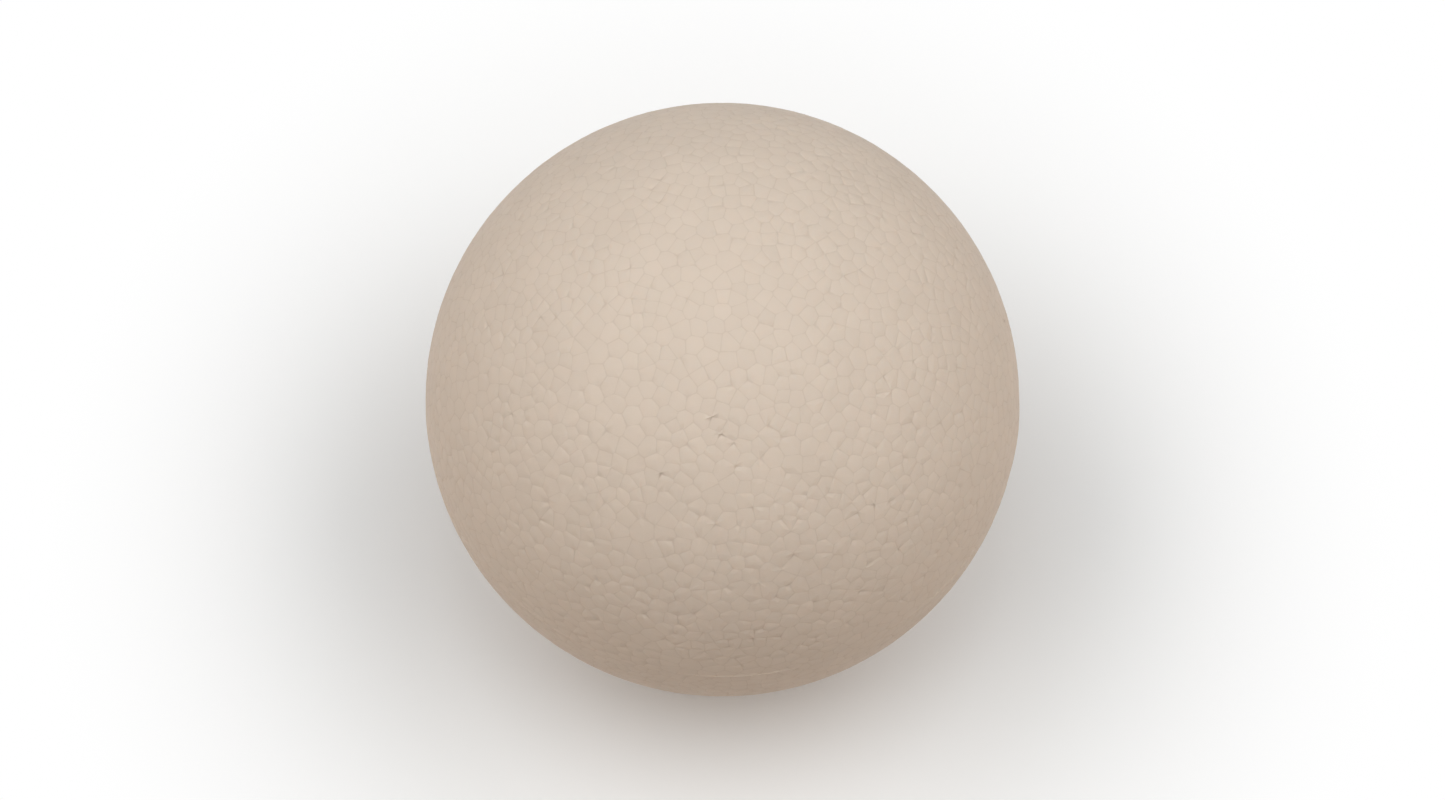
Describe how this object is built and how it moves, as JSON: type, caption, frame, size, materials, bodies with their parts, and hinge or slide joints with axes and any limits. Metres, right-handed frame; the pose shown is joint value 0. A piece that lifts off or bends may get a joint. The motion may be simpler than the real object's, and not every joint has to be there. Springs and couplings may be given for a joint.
{
  "type": "polystyrene ball",
  "caption": "Solid white foam craft ball with a fused bead skin and a faint parting line, for painting, covering and pinning.",
  "frame": {"origin": "centre of the ball", "axes": "+Z is the way the mould opened, so the parting line lies in the XY plane; the surface it would lie on is at z = -0.040"},
  "size_m": [0.0804, 0.0804, 0.0801],
  "materials": {
    "foam": "expanded polystyrene foam, warm white and matt, a mosaic of fused beads with fine borders and small pits between them"
  },
  "bodies": {
    "root": {"ball": "foam"}
  },
  "joints": []
}
